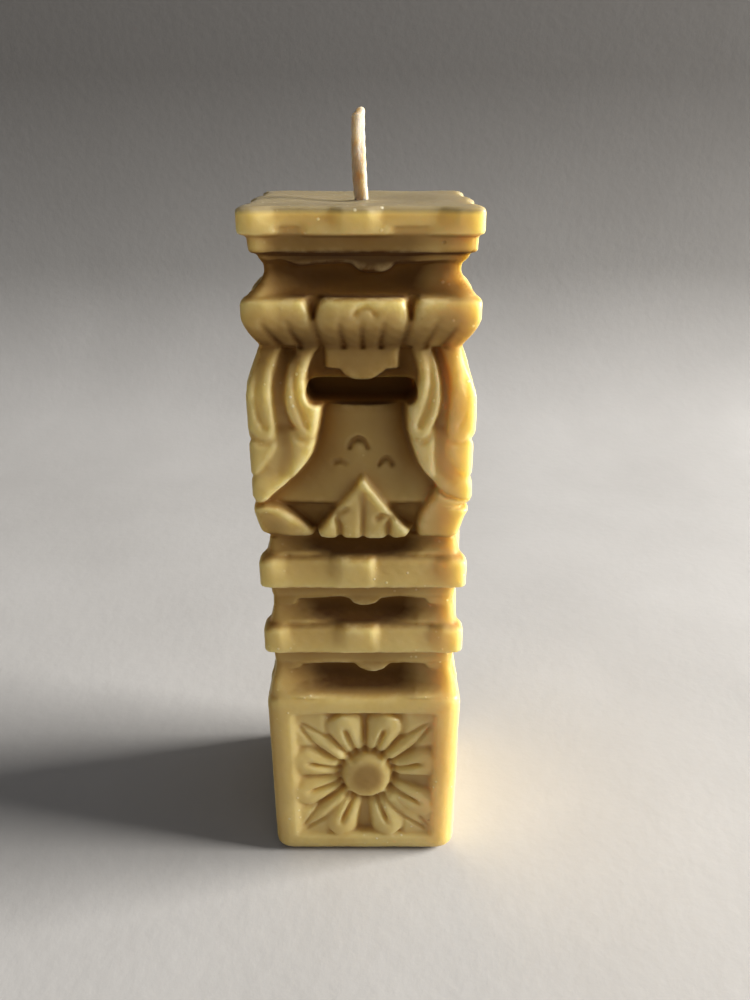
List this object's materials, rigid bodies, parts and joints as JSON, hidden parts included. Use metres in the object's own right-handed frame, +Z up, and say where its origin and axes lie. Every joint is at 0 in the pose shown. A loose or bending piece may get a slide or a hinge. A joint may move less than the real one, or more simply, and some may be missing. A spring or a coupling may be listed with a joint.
{
  "type": "carved pillar candle",
  "caption": "Square beeswax pillar candle cast as a carved column: flower plinth, stepped slabs, cloth folds round a slotted niche, lotus ring, flat top and a free wick.",
  "frame": {"origin": "middle of the flat underside of the plinth", "axes": "+Z up along the column and the wick, -Y out of one carved face, +X to the right of that face; all four faces carry the same carving"},
  "size_m": [0.0506, 0.0506, 0.1924],
  "materials": {
    "beeswax": "cast, satin, slightly translucent",
    "wick_cotton": "plaited and waxed"
  },
  "bodies": {
    "root": {"wax_body": "beeswax", "wick": "wick_cotton"}
  },
  "joints": []
}
